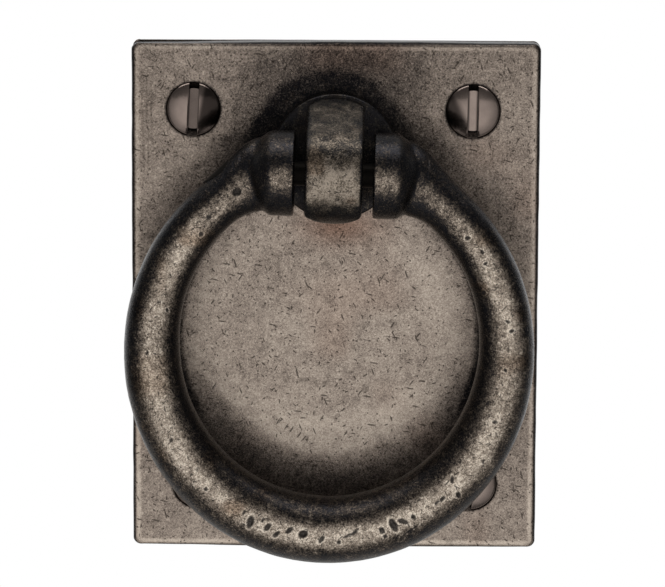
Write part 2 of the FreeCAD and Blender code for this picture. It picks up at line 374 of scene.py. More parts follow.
def plateShape():
    s = plate
    width, height = (plateHigh - plateLow)[[0, 2]]
    places = screwPlaces()
    edgeRound, backRound = s["edgeRound"], s["backRound"]
    cells = [round(side / s["cell"]) for side in (width, height)]
    x, z = plateLattice(width - 2 * edgeRound, height - 2 * edgeRound, s["faceCorner"], cells)
    outline = np.stack(plateLattice(width, height, s["corner"], cells), -1).reshape(-1, 2)
    circles = [(*place, s["seatRadius"]) for place in places] + [(0, collarZ, s["tenonRadius"])]
    x, z, quads, border, frontLoops = punch(x, z, circles)
    points = [np.stack([x, np.full(x.size, plateFront), z], 1)]
    faces = [quads]
    # rim: a quarter round, the side and a small round at the back, pushed out from the border to the outline
    edge = np.stack([x, z], 1)[border]
    out = (outline[border] - edge) / edgeRound
    bend = np.radians(np.linspace(12, 90, 7))
    backBend = np.array([1 / 3, 1])
    rimOut = np.concatenate([edgeRound * np.sin(bend), np.full(s["sideRows"], edgeRound),
                             edgeRound - backRound * backBend])
    rimY = np.concatenate([plateFront + edgeRound * (1 - np.cos(bend)),
                           np.linspace(plateFront + edgeRound + s["sideGap"], -backRound, s["sideRows"]),
                           -backRound * backBend * (1, 0)])
    rim = np.empty((len(rimOut), len(border), 3))
    rim[..., 0] = edge[:, 0] + rimOut[:, None] * out[:, 0]
    rim[..., 1] = rimY[:, None]
    rim[..., 2] = edge[:, 1] + rimOut[:, None] * out[:, 1]
    rimIndex = gridOf(rim, x.size)
    points.append(rim.reshape(-1, 3))
    faces.append(quadsOf(np.vstack([border, rimIndex]), loop=True))
    # back: a coarser lattice, zipped to the rim
    backCells = [round(side / s["backCell"]) for side in (width, height)]
    backWidth, backHeight = width - 2 * s["backInset"], height - 2 * s["backInset"]
    backX, backZ = plateLattice(backWidth, backHeight, s["corner"], backCells)
    rivetRadius = s["tenonRadius"] + s["rivetFlare"]
    circles = [(*place, s["holeRadius"]) for place in places] + [(0, collarZ, rivetRadius)]
    backX, backZ, backQuads, backBorder, backLoops = punch(backX, backZ, circles)
    start = rimIndex[-1, -1] + 1
    points.append(np.stack([backX, np.zeros(backX.size), backZ], 1))
    faces.append(backQuads + start)
    rimAngle = np.arctan2(rim[-1][:, 2], rim[-1][:, 0])
    backAngle = np.arctan2(backZ[backBorder], backX[backBorder])
    rimOrder, backOrder = np.argsort(rimAngle), np.argsort(backAngle)
    faces.append(zipLoops(rimIndex[-1][rimOrder], rimAngle[rimOrder],
                          (backBorder + start)[backOrder], backAngle[backOrder]))
    # walls of the holes: straight or sloping from the front, then zipped to the hole in the back
    done = start + backX.size
    seatDepth = s["seatRadius"] - s["holeRadius"]
    steps = [(*place, s["holeRadius"], plateFront + seatDepth) for place in places]
    steps.append((0, collarZ, s["tenonRadius"], -s["rivetFlare"]))
    for (middleX, middleZ, radius, depth), frontLoop, backLoop in zip(steps, frontLoops, backLoops):
        angle = np.arctan2(z[frontLoop] - middleZ, x[frontLoop] - middleX)
        wallIndex = done + np.arange(angle.size)
        done += angle.size
        points.append(np.stack([middleX + radius * np.cos(angle), np.full(angle.size, depth),
                                middleZ + radius * np.sin(angle)], 1))
        faces.append(quadsOf(np.vstack([frontLoop, wallIndex]), loop=True))
        holeAngle = np.arctan2(backZ[backLoop] - middleZ, backX[backLoop] - middleX)
        faces.append(zipLoops(wallIndex, angle, backLoop + start, holeAngle))
    return np.concatenate(points), faces


def plateWear(points, normals, front, nearScrew):
    # How far the face is rubbed back, and how brown it is
    s = plate
    x, z = points.T[[0, 2]]
    # painted shade on the rounded rim and sides, where they turn away from the front
    rubAndLight = s["faceRub"] - rampUp(*s["edgeBlack"], np.hypot(normals[:, 0], normals[:, 2]))
    rubAndLight -= rampUp(*s["seatBlack"], nearScrew)
    # painted light brightens the middle of the face, and painted shade darkens the top and the upper right
    rubAndLight += rampUp(*s["middleLight"], np.hypot(x, z - s["middleZ"])) - rampUp(*s["upperBlack"], z)
    rubAndLight -= rampUp(*s["rightShade"], x) * ease(*s["rightLimit"], z)
    rimGap = np.minimum(plateHigh[0] - abs(x), plateHigh[2] - abs(z))
    # painted highlight along the edges of the face, strongest along the bottom
    rimHighlight = s["rimHighlight"] + rampUp(*s["lowRimHighlight"], z)  # the face is brightest along its edges
    rubAndLight += rimHighlight * front * ease(*s["rimLimit"], rimGap)
    # painted shade above the knuckle, where the face reflects it
    rubAndLight -= rampUp(*s["topShade"], z) * ease(*s["topLimit"], abs(x))
    # painted shadow of the ring, where the face reflects the ring and lies in its shade: dark behind the
    # ring's lower part and close beside its bar; and the face is paler in a band within
    ringShadeReach = np.hypot(x, z - s["ringShadeZ"]) + s["ringShadeUneven"] * lumps(points, 4, 9)
    rubAndLight -= rampUp(*s["ringShadeDark"], ringShadeReach) * ease(*s["ringShadeEnd"], ringShadeReach) * ease(*s["ringShadeLimit"], z)
    loopX, loopZ = s["loopMiddle"]
    loopWidth, loopHeight = s["loopHalf"]
    inside = np.hypot((x - loopX) / loopWidth, (z - loopZ) / loopHeight)
    beside = ease(*s["besideLow"], z) * ease(*s["besideHigh"], z)
    rubAndLight -= rampUp(*s["besideShade"], inside) * ease(*s["besideEnd"], inside) * beside
    low = ease(*s["paleLow"], z)
    paleEnd = s["paleEnd"] - s["paleLowShift"] * low
    begins, full, fades = (paleEnd - fade for fade in s["paleFades"])
    pale = ease(begins, full, inside) * ease(paleEnd, fades, inside) * ease(*s["paleLimit"], z)
    rubAndLight += (s["paleLift"] + s["paleLowLift"] * low) * pale
    # and painted shade round the collar and along the ring's arms, where the face reflects the knuckle and
    # the arms and lies in their shadow
    halo = np.hypot(x - s["haloX"], z - collarZ) + s["haloUneven"] * lumps(points, 4, 7)
    rubAndLight -= (rampUp(*s["haloShade"], halo) + rampUp(*s["haloFade"], halo)) * ease(*s["haloLimit"], z)
    arms = np.hypot(x / s["armHalf"][0], (z - s["armMiddleZ"]) / s["armHalf"][1])
    arms += s["armUneven"] * lumps(points, 3, 10)
    rubAndLight -= rampUp(*s["armShade"], arms) * ease(*s["armEnd"], arms) * ease(*s["armLimit"], z)
    rubAndLight += ease(0.2, 0.8, normals[:, 1]) * (s["backRub"] - rubAndLight)  # the back is plain
    brown = ridge(s["stain"], s["stainMiddle"][0], s["stainHalf"][0], x)
    brown *= ridge(1, s["stainMiddle"][1], s["stainHalf"][1], z)
    brown += rampUp(*s["browning"], lumps(points, 6, 8))
    brown += rampUp(*s["topStain"], z) * ease(*s["topStainLimit"], abs(x - s["topStainX"]))
    return rubAndLight, brown * front


def dressPlate(points, normals):
    # A hand-finished casting: edges a little bowed, the face gently uneven, with shallow pits.
    s = plate
    x, z = points.T[[0, 2]]
    upwards = normals[:, 2]
    front = ease(0.5, 0.9, -normals[:, 1])
    side = ease(0.5, 0.9, np.hypot(normals[:, 0], upwards))
    nearScrew = np.min([np.hypot(x - placeX, z - placeZ) for placeX, placeZ in screwPlaces()], 0)
    level = ease(*s["trueRim"], nearScrew)  # the face stays true round the screw heads
    heights = front * level * uneven(points, s["faceSwells"], 1) + side * uneven(points, s["sideSwells"], 3)
    heights -= side * s["bow"] * abs(upwards) * (x / plateHigh[0]) ** 2
    heights -= side * s["bow"] * np.clip(upwards, 0, 1) * ease(*s["topFall"], x)  # the top falls to the left
    flat = np.flatnonzero((normals[:, 1] < -0.98) & (nearScrew > s["pitRim"]))
    hollow, core = pitHollows(points, scatterPits(points, normals, flat, s["pits"], 5))[:2]
    heights -= hollow * front
    rubAndLight, brown = plateWear(points, normals, front, nearScrew)
    # three long scores down the upper left side
    lines = [ridge(s["scoreDark"], score, s["scoreWidth"], x - s["scoreSlope"] * z) for score in s["scores"]]
    scored = np.max(lines, 0) * ease(*s["scoreLow"], z) * ease(*s["scoreHigh"], z)
    return heights, dict(rubAndLight=rubAndLight, pit=np.maximum(s["pitDark"] * core, scored) * front, brown=brown)


points, faces = plateShape()
addPiece("backplateCasting", points, faces, dressPlate, platePewter, "fixed_plate", "backplate")


# Ring: a bar bent to an ellipse, thickest at the bottom, that ends in two round bosses beside the knuckle.
# The wear in the crease and on the shoulder is a ridge: an amount, a middle and a width.
ring = dict(halfWidth=21.74, halfHeight=22.82, bottomThick=8.45, endThick=6.15, taperEnd=np.radians(150),
            armRise=0.3, flareStart=np.radians(139), flareGrowth=1.25, flareLift=0.35, web=0.75,
            bossInner=4.75, bossLength=4.3, bossRadius=5.3, bossRound=1.6, innerRound=0.35, cove=2.4,
            neck=2.4, joinBlend=0.7, around=112, crowding=0.3, armRows=366, joinRows=52, sideRows=13,
            roundRows=5, faceRows=9, swells=((0.035, 5), (0.02, 1.8), (0.01, 0.7)),
            pits=dict(count=60, halfLength=(0.2, 0.36), slimness=(0.4, 0.9), deepness=0.15),
            pitTop=14, shownDepth=0.6, pitDark=0.9,
            baseRub=0.14, bandRubAndHighlight=(0.66, 1.75, 0.3), bandMiddle=(0.09, -0.02), bandHalf=(0.54, 0.36),
            bandUneven=0.12, backShare=(0.5, -0.2, 0.2), armLift=0.08, armLimit=(2, 10),
            rightArmShade=(0.1, 6, 12), rightShade=(0.1, 0.5, 0.8), creaseBlack=(0.2, 9.7, 1.3),
            creaseLimit=(10, 13), bossBlack=(0.12, 9.6, 9.0), bossLimit=(10, 12),
            shoulderRub=(0.4, 8.8, 0.9), shoulderLimit=(16.5, 19), sideBlack=(0.1, -18, -6),
            upperBlack=(0.22, 7, 15), lipHighlight=(0.6, 0.7, 0.9), browning=(0.5, 0.2, 0.8), upperLimit=(12, 8))
# Casting pits that show: angle along the ring, turn round the bar, half length, half width, and lean from the
# bar's own line
ringPits = [(-23.8, 83, 0.85, 0.42, 80), (-18.2, 87, 0.6, 0.34, 110), (-14.8, 80, 0.55, 0.28, 115),
            (-11.2, 93, 0.55, 0.3, 125), (-6.5, 91, 0.62, 0.48, 140), (-0.5, 85, 0.55, 0.27, 120),
            (5, 79, 0.32, 0.25, 90), (19, 86, 0.48, 0.35, 100), (23, 88, 0.9, 0.42, 95),
            (26.3, 87, 0.72, 0.3, 135), (29.8, 86, 0.36, 0.3, 80), (-20.5, 95, 0.34, 0.2, 95),
            (-27, 93, 0.42, 0.2, 85), (40.5, 83, 0.46, 0.26, 10), (38.5, 84, 0.4, 0.16, 0),
            (44.8, 68, 0.42, 0.3, 70), (47, 97, 0.48, 0.22, 40), (45, 99, 0.36, 0.14, 0),
            (53.2, 108, 0.34, 0.15, 20), (57.2, 72, 0.34, 0.14, 30), (130, 96, 0.34, 0.24, 60),
            (123.8, 86, 0.34, 0.22, 0), (120.2, 92, 0.32, 0.2, 90), (-147.5, 92, 0.6, 0.5, 0),
            (8.8, 91, 1.0, 0.16, 15), (27, 66, 1.3, 0.14, 10), (10.5, 96, 0.7, 0.12, 30),
            (-60, 88, 0.34, 0.2, 50), (-88, 84, 0.3, 0.2, 20), (-104, 95, 0.3, 0.18, 70),
            (86, 92, 0.3, 0.2, 30), (101, 85, 0.3, 0.18, 60)]
bossMiddle = ring["bossInner"] + ring["bossLength"] / 2
bossOuter = ring["bossInner"] + ring["bossLength"]
armEnd = np.pi - np.arcsin(bossMiddle / ring["halfWidth"])
flareEnd = np.pi - np.arcsin(bossOuter / ring["halfWidth"])
ringZ = pinZ + ring["armRise"] + ring["halfHeight"] * np.cos(armEnd)


def barPoint(t, turn):
    # Out along the ellipse to angle t from its lowest point, then one radius away: turn 0 is outwards, 90
    # degrees is front. Towards its boss the bar grows taller and shifts outwards, but grows no deeper.
    s = ring
    share = (1 + np.cos(np.minimum(t, s["taperEnd"]) * np.pi / s["taperEnd"])) / 2
    radius = (s["endThick"] + (s["bottomThick"] - s["endThick"]) * share) / 2
    grown = np.clip((t - s["flareStart"]) / (flareEnd - s["flareStart"]), 0, 2)
    flare = grown ** 2 / (1 + grown ** 12) ** (1 / 6)  # squared, and level from the boss on
    web = s["web"] * flare * np.clip(-np.cos(turn), 0, 1)  # a fillet under the boss
    outX, outZ = s["halfHeight"] * np.sin(t), -s["halfWidth"] * np.cos(t)
    reach = (radius + s["flareGrowth"] * flare) * np.cos(turn) + s["flareLift"] * flare - web
    reach = reach / np.hypot(outX, outZ)
    return np.stack([s["halfWidth"] * np.sin(t) + reach * outX, pinY - radius * np.sin(turn) + 0 * t,
                     ringZ - s["halfHeight"] * np.cos(t) + reach * outZ], -1)


def bossPoint(x, radius, turn):
    # A circle about the pin's line, at x along it
    return np.stack([x + 0 * turn, pinY - radius * np.sin(turn), pinZ + radius * np.cos(turn)], -1)


def ringShape():
    s = ring
    spin = np.linspace(0, 2 * np.pi, s["around"], endpoint=False)
    turn = (spin + s["crowding"] * np.cos(spin))[None]  # points lie closer together at the front
    # where each line of the bar comes to the planes x of the join, by Newton steps
    shoulder, foot = bossOuter - s["bossRound"], bossOuter + s["cove"]
    joinX = np.linspace(foot, shoulder, s["joinRows"])[:, None]
    reached = np.repeat(np.full_like(turn, flareEnd), len(joinX), 0)
    nudge = 1e-4
    for attempt in range(7):
        miss = barPoint(reached, turn)[..., 0] - joinX
        slope = (barPoint(reached + nudge, turn)[..., 0] - joinX - miss) / nudge
        reached = reached - miss / slope
    bar = barPoint(np.linspace(0, 1, s["armRows"])[:-1, None] * reached[:1], turn)
    # join: the boss's shoulder falls in a smooth step, and in each plane the outer one of bar and boss shows
    shoulderR = s["bossRadius"] - (s["bossRadius"] - s["neck"]) * ease(shoulder, foot, joinX)
    barJoin, bossJoin = barPoint(reached, turn), bossPoint(joinX, shoulderR, turn)
    barR = np.hypot(barJoin[..., 1] - pinY, barJoin[..., 2] - pinZ)
    lead = ease(-s["joinBlend"], s["joinBlend"], barR - shoulderR)[..., None]
    join = lead * barJoin + (1 - lead) * bossJoin
    # boss: side, inner round and inner face, as x and radius
    bend = np.radians(np.linspace(0, 90, s["roundRows"] + 1))[1:]
    bossX = [np.linspace(shoulder, s["bossInner"] + s["innerRound"], s["sideRows"] + 1)[1:],
             s["bossInner"] + s["innerRound"] * (1 - np.sin(bend)), np.full(s["faceRows"], s["bossInner"])]
    bossR = [np.full(s["sideRows"], s["bossRadius"]), s["bossRadius"] - s["innerRound"] * (1 - np.cos(bend)),
             np.linspace(s["bossRadius"] - s["innerRound"], 0, s["faceRows"] + 1)[1:]]
    boss = bossPoint(np.concatenate(bossX)[:, None], np.concatenate(bossR)[:, None], turn)
    half = np.concatenate([bar, join, boss])
    whole = np.concatenate([half[:0:-1] * (-1, 1, 1), half])
    return turnAskew(whole)


def shownPits():
    # The listed pits in place on the bar: each is drawn out along the bar's line, turned by its lean.
    t, turn, length, width, lean = np.array(ringPits).T
    t, turn, lean = np.radians([t, turn, lean])
    flip = np.stack([np.where(t < 0, -1, 1), np.ones(t.size), np.ones(t.size)], 1)
    nudges = ((0, 0), (0.001, 0), (0, 0.001))
    spot, *others = (turnAskew(barPoint(abs(t) + on, turn + over) * flip) for on, over in nudges)
    line, girth = ((other - spot) / np.linalg.norm(other - spot, axis=1)[:, None] for other in others)
    cosine, sine = np.cos(lean)[:, None], np.sin(lean)[:, None]
    along, across = cosine * line + sine * girth, cosine * girth - sine * line
    return list(zip(spot, along, across, length, width, ring["shownDepth"] * width))


def dressRing(points, normals):
    # Cast and tumbled: a softly uneven surface with pits, rubbed bright where it faces forwards, with a
    # painted highlight there.
    s = ring
    x, z = points.T[[0, 2]]
    facing = -normals[:, 1]
    pits = scatterPits(points, normals, np.flatnonzero(z < s["pitTop"]), s["pits"], 14) + shownPits()
    hollow, core, lip = pitHollows(points, pits)
    heights = uneven(points, s["swells"], 11) - hollow
    # the band of rubbed metal and painted highlight is wider across than up and down, and lies a little to
    # the right, towards the light
    asideX = (normals[:, 0] - s["bandMiddle"][0]) / s["bandHalf"][0]
    asideZ = (normals[:, 2] - s["bandMiddle"][1]) / s["bandHalf"][1]
    aside = np.hypot(asideX, asideZ) + s["bandUneven"] * lumps(points, 4, 16)
    rubAndLight = s["baseRub"] + rampUp(*s["bandRubAndHighlight"], aside) * (1 - s["backShare"][0] + rampUp(*s["backShare"], facing))
    # the arms a little lighter, and painted shade on the right arm
    rubAndLight += ease(*s["armLimit"], z) * (s["armLift"] - rampUp(*s["rightArmShade"], x))
    # painted shade on the sides that face right
    rubAndLight -= rampUp(*s["rightShade"], normals[:, 0])
    # black in the creases at the bosses and on the bosses, whose shoulders are worn
    rubAndLight -= ridge(*s["creaseBlack"], abs(x)) * ease(*s["creaseLimit"], z)
    rubAndLight -= rampUp(*s["bossBlack"], abs(x)) * ease(*s["bossLimit"], z)
    rubAndLight += ridge(*s["shoulderRub"], abs(x)) * ease(*s["shoulderLimit"], z)
    rubAndLight -= rampUp(*s["sideBlack"], z) + rampUp(*s["upperBlack"], z)  # fingers rub the hanging part most
    hanging = ease(*s["upperLimit"], z)
    # painted highlight on the lips of the pits that face forwards on the hanging part
    rubAndLight += lip * rampUp(*s["lipHighlight"], facing) * hanging
    brown = rampUp(*s["browning"], lumps(points, 3, 17)) * hanging
    return heights, dict(rubAndLight=rubAndLight, pit=s["pitDark"] * core, brown=brown)


points = ringShape()
faces = [quadsOf(gridOf(points), loop=True)]
addPiece("ringCasting", points.reshape(-1, 3), faces, dressRing, ringPewter, "swinging_ring", "ring",
         crease=60)


# Knuckle: a round collar with a tenon riveted through the plate, and a lug with a round nose and two flats.
knuckle = dict(collarRadius=7.85, collarHeight=3.2, collarRound=0.4, lugStep=0.4, noseRadius=6.05,
               underRelief=0.1, width=7.0, edgeRound=0.4, tenonRadius=4.0, rivetFlare=1.0, rivetSink=0.03,
               rivetEdge=0.08, seatGap=0.06, pinHole=1.55, lugSink=0.25, around=200,
               lugRows=(10, 52, 116, 44, 10), acrossRows=50, swells=((0.02, 3), (0.012, 1)),
               pits=dict(count=60, halfLength=(0.2, 0.4), slimness=(0.4, 0.9), deepness=0.15),
               pitFront=-9, pitDark=0.5, baseRub=0.1, noseRubAndHighlight=(0.75, 0.8, 1.0), noseTilt=0.12,
               topLight=(0.38, 0.5, 0.9), slopeHighlight=(0.3, 0.42, 0.2), slopeLimit=(0, 0.3),
               frontLimit=(-7.0, -10.0), rivetRub=(0.5, -0.3, 0), edgeBlack=(0.3, 2.5, 3.4),
               flatBlack=(0.9, 0.5, 0.9), browning=(0.4, 0.1, 0.7))
collarFront = plateFront - knuckle["collarHeight"]


def collarShape():
    # A profile of radius and depth, from the riveted end to the front, spun round the collar's middle
    s = knuckle
    bend = np.radians(np.linspace(0, 90, 7))
    tenon, outer, rounding = s["tenonRadius"], s["collarRadius"], s["collarRound"]
    rivet = tenon + s["rivetFlare"]
    seat = plateFront + s["seatGap"]
    radius = np.concatenate([np.linspace(0, rivet - 0.1, 8), [rivet, tenon, tenon], np.full(8, outer),
                             outer - rounding * (1 - np.cos(bend)), np.linspace(outer - rounding, 0, 14)[1:]])
    depth = np.concatenate([np.full(8, -s["rivetSink"]), [-s["rivetEdge"], -s["rivetFlare"], seat],
                            np.linspace(seat, collarFront + rounding + 0.1, 8),
                            collarFront + rounding * (1 - np.sin(bend)), np.full(13, collarFront)])
    spin = np.linspace(0, 2 * np.pi, s["around"], endpoint=False)
    return np.stack([radius[:, None] * np.cos(spin), np.repeat(depth[:, None], s["around"], 1),
                     collarZ + radius[:, None] * np.sin(spin)], -1)


def lugShape():
    # The side view, straight from the collar and round about the pin, carried across with rounded edges
    s = knuckle
    half, rounding = s["width"] / 2, s["edgeRound"]
    base = collarFront + s["lugSink"]
    top = np.array([collarFront, collarZ + s["collarRadius"]]) - (pinY, pinZ)
    touch = np.arctan2(top[1], top[0]) + np.arccos(s["noseRadius"] / np.hypot(*top))
    fall = (s["noseRadius"] * np.cos(touch) - top[0]) / (s["noseRadius"] * np.sin(touch) - top[1])
    bend = np.radians(np.linspace(90, 0, 7))
    edgeX, edgeIn = half - rounding + rounding * np.sin(bend), rounding * (1 - np.cos(bend))
    innerX = np.linspace(-half + rounding, half - rounding, s["acrossRows"] + 2)[1:-1]
    x = np.concatenate([-edgeX, innerX, edgeX[::-1]])
    inset = np.concatenate([edgeIn, np.zeros(s["acrossRows"]), edgeIn[::-1]])
    nose = s["noseRadius"] - inset
    highZ = collarZ + np.sqrt((s["collarRadius"] - s["lugStep"]) ** 2 - x ** 2) - inset
    lowZ = pinZ - np.sqrt((s["noseRadius"] - s["underRelief"]) ** 2 - x ** 2) + inset
    touchY, touchZ = pinY + nose * np.cos(touch), pinZ + nose * np.sin(touch)
    highY = touchY + (highZ - touchZ) * fall
    lowTurn = np.pi - np.arcsin((lowZ - pinZ) / nose)
    lowY = pinY + nose * np.cos(lowTurn)
    # up the collar, down the slope, round the nose, back underneath and up the inside
    runs = [np.linspace(0, 1, rows, endpoint=False)[:, None] for rows in s["lugRows"]]
    up, down, about, under, inside = runs
    noseTurn = touch + about * (lowTurn - touch)
    y = np.concatenate([base + up * (highY - base), highY + down * (touchY - highY),
                        pinY + nose * np.cos(noseTurn), lowY + under * (base - lowY), base + 0 * inside * x])
    z = np.concatenate([highZ + 0 * up, touchZ * down + highZ * (1 - down),
                        pinZ + nose * np.sin(noseTurn), lowZ + 0 * under, lowZ + inside * (highZ - lowZ)])
    for smoothing in range(3):
        y, z = ((np.roll(line, 1, 0) + 2 * line + np.roll(line, -1, 0)) / 4 for line in (y, z))
    skin = np.stack([np.broadcast_to(x, y.shape), y, z], -1)
    # each flat: from the rounded edge in to the pin's hole
    inwards = np.linspace(0, 1, 10)[1:, None]
    flats = []
    for side in (0, -1):
        away = skin[:, side, 1:] - (pinY, pinZ)
        far = np.linalg.norm(away, axis=1)
        near = far + inwards * (s["pinHole"] - far)
        spot = near[..., None] * (away / far[:, None])
        flat = np.stack([np.full(near.shape, x[side]), pinY + spot[..., 0], pinZ + spot[..., 1]], -1)
        flats.append(flat.swapaxes(0, 1))
    return np.concatenate([flats[0][:, ::-1], skin, flats[1]], 1)


def dressKnuckle(points, normals):
    # Cast like the ring: black at the collar and the lug's edges, rubbed on the nose under a painted
    # highlight, with painted light on the slope above it and on faces turned up
    s = knuckle
    x, y, z = points.T
    sideways, facing, upwards = abs(normals[:, 0]), -normals[:, 1], normals[:, 2]
    pits = scatterPits(points, normals, np.flatnonzero(y < s["pitFront"]), s["pits"], 23)
    hollow, core = pitHollows(points, pits)[:2]
    heights = uneven(points, s["swells"], 21) - hollow
    # the nose rubbed bright under a painted highlight, and painted light on faces turned up
    rubAndLight = s["baseRub"] + rampUp(*s["noseRubAndHighlight"], facing - s["noseTilt"] * upwards) + rampUp(*s["topLight"], upwards)
    # painted highlight on the slope above the nose
    rubAndLight += ridge(*s["slopeHighlight"], upwards) * ease(*s["slopeLimit"], facing)
    rubAndLight *= ease(*s["frontLimit"], y)
    rubAndLight += rampUp(*s["rivetRub"], y)  # the riveted end is plain
    rubAndLight -= rampUp(*s["edgeBlack"], abs(x - np.tan(askew) * (z - collarZ)))
    rubAndLight *= 1 - rampUp(*s["flatBlack"], sideways)
    return heights, dict(rubAndLight=rubAndLight, pit=s["pitDark"] * core, brown=rampUp(*s["browning"], lumps(points, 2, 25)))


collar, lug = turnAskew(collarShape()), turnAskew(lugShape())
points = np.concatenate([collar.reshape(-1, 3), lug.reshape(-1, 3)])
lugIndex = gridOf(lug, collar.shape[0] * collar.shape[1])
faces = [quadsOf(gridOf(collar), loop=True), quadsOf(np.vstack([lugIndex, lugIndex[:1]]), loop=True)]
addPiece("knuckleCasting", points, faces, dressKnuckle, knucklePewter, "fixed_plate", "knuckle")


# Screws: raised countersunk heads with a slot, and a wood thread behind.
screw = dict(headRadius=3.36, headRise=0.9, slotWidth=1.25, slotDepth=1.75, rimRound=0.16,
             rimLimit=(0.92, 1.06), shankRadius=1.4, threadRadius=1.75, rootRadius=1.15, pitch=1.35,
             ridgeSharpness=3.2, length=16.0, shankStart=1.9, threadStart=2.5, threadFade=0.8,
             pointLength=3.2, slotTurns=np.radians([2.7, 1.0, 4.0, 8.0]), cheekRows=26, wallRows=6,
             floorRows=10, alongRows=61, shankRows=190, around=40, swells=((0.006, 1.5), (0.006, 0.6)),
             slotFloor=(0, 0.5), slotBlack=(-0.3, 0.2), floorEdge=(0.56, 0.4), dirtySlot=0.58,
             domeShade=(0.5, 1.7, 3.3), threadClean=(0.8, -0.5, 0.3))
# Painted shade on the heads of the two upper screws: which screw, how dark, which cheek, slope and limits
headShades = [(0, 0.9, 1, -0.15, (0.3, 1.2), (-2.9, -1.6)), (1, 0.85, -1, -0.5, (0.7, 1.9), (-2.7, -1.0))]


def headShape():
    # Top of a head as lines along the slot, each as long as the head is there; the lines of the slot's walls
    # lie on top of each other at different depths, and its floor is as long as the cone allows.
    s = screw
    radius, half = s["headRadius"], s["slotWidth"] / 2
    ball = (radius ** 2 + s["headRise"] ** 2) / (2 * s["headRise"])
    floorY = plateFront - s["headRise"] + s["slotDepth"]
    floorReach = radius - (floorY - plateFront)
    lift = np.linspace(0.04, 1, s["wallRows"])
    cheek = half + (radius - half) * np.sin(np.linspace(0.02, 0.99, s["cheekRows"]) * np.pi / 2)
    x = np.concatenate([-cheek[::-1], np.full(s["wallRows"], -half), np.linspace(-half, half, s["floorRows"]),
                        np.full(s["wallRows"], half), cheek])
    level = np.zeros(s["cheekRows"])
    sunk = np.concatenate([level, lift, np.ones(s["floorRows"]), lift[::-1], level])
    reach = np.sqrt((radius + sunk * (floorReach - radius)) ** 2 - x ** 2)
    along = np.sin(np.linspace(-np.pi / 2, np.pi / 2, s["alongRows"]))[:, None]
    z = along * reach
    dome = plateFront - s["headRise"] + ball - np.sqrt(ball ** 2 - x ** 2 - z ** 2)
    dome = dome + rampUp(s["rimRound"], *s["rimLimit"], np.hypot(x, z) / radius)  # the rim is rolled over
    return np.stack([np.broadcast_to(x, z.shape), dome + sunk * (floorY - dome), z], -1)


def shankShape():
    # Radius along the screw: a helix of thread that starts behind the plate and runs out at the point
    s = screw
    tip = plateFront + s["length"]
    y = np.linspace(plateFront + s["shankStart"], tip, s["shankRows"])[:, None]
    spin = np.linspace(0, 2 * np.pi, s["around"], endpoint=False)
    taper = np.clip((tip - y) / s["pointLength"], 0, 1)
    phase = (y / s["pitch"] + spin / (2 * np.pi)) % 1
    crest = np.clip(1 - abs(phase - 0.5) * s["ridgeSharpness"], 0, 1)
    threaded = ease(s["threadStart"], s["threadStart"] + s["threadFade"], y)
    core = s["shankRadius"] + threaded * (s["rootRadius"] - s["shankRadius"])
    radius = (core + threaded * crest * (s["threadRadius"] - s["rootRadius"])) * taper
    radius = np.vstack([np.zeros((1, s["around"])), radius])
    y = np.vstack([y[:1], y])
    return np.stack([radius * np.cos(spin), np.broadcast_to(y, radius.shape), radius * np.sin(spin)], -1)


def screwShape():
    # Head, countersunk cone with a lid, and shank
    neckRadius = screw["shankRadius"]
    head, shank = headShape(), shankShape()
    headIndex = gridOf(head)
    border = borderOf(headIndex)
    edge = head.reshape(-1, 3)[border]
    angle = np.arctan2(edge[:, 2], edge[:, 0])
    neckY = plateFront + screw["headRadius"] - neckRadius
    neck = np.stack([neckRadius * np.cos(angle), np.full(angle.size, neckY), neckRadius * np.sin(angle)], 1)
    neckIndex = head.shape[0] * head.shape[1] + np.arange(angle.size)
    middle = np.array([[0, neckY, 0]])
    middleIndex = np.full(angle.size, neckIndex[-1] + 1)
    shankIndex = gridOf(shank, middleIndex[0] + 1)
    points = np.concatenate([head.reshape(-1, 3), neck, middle, shank.reshape(-1, 3)])
    cone = quadsOf(np.vstack([border, neckIndex]), loop=True)
    lid = np.stack([neckIndex, np.roll(neckIndex, -1), middleIndex], 1)
    return points, [quadsOf(headIndex), cone, lid, quadsOf(shankIndex, loop=True)]


def screwsShape():
    # Four of the screw, each at its place and with its slot turned
    points, faces = [], []
    shape, blocks = screwShape()
    x, y, z = shape.T
    for number, (place, turn) in enumerate(zip(screwPlaces(), screw["slotTurns"])):
        turnedX, turnedZ = x * np.cos(turn) + z * np.sin(turn), z * np.cos(turn) - x * np.sin(turn)
        points.append(np.stack([turnedX + place[0], y, turnedZ + place[1]], 1))
        faces += [block + number * len(shape) for block in blocks]
    return np.concatenate(points), faces


def dressScrews(points, normals):
    # Almost smooth heads: dark in the slots, with painted shade that darkens each dome towards its rim and
    # parts of the two upper heads
    s = screw
    x, y, z = points.T
    places = screwPlaces()
    own = np.argmin([np.hypot(x - placeX, z - placeZ) for placeX, placeZ in places], 0)
    turn = s["slotTurns"][own]
    height = z - places[own, 1]
    across = (x - places[own, 0]) * np.cos(turn) - height * np.sin(turn)
    behind = y - plateFront
    floor = ease(0.5, 0.9, -normals[:, 1]) * ease(*s["slotFloor"], behind)
    domed = floor < 0.5
    sunk = ease(*s["slotBlack"], behind) * (1 - floor * ease(*s["floorEdge"], abs(across)))
    sunk = np.maximum(sunk, s["dirtySlot"] * floor * (own == 0))
    # painted shade: each dome darkens towards its rim
    sunk = np.maximum(sunk, rampUp(*s["domeShade"], np.hypot(across, height)) * domed)
    # painted shade on parts of the two upper heads
    for number, dark, cheek, slope, acrossLimit, heightLimit in headShades:
        shade = ease(*acrossLimit, cheek * across + slope * height) * ease(*heightLimit, height)
        sunk = np.maximum(sunk, dark * (own == number) * shade * domed)
    sunk -= rampUp(*s["threadClean"], y)
    heights = uneven(points, s["swells"], 31) * (behind < 0.1)
    return heights, dict(sunk=sunk)


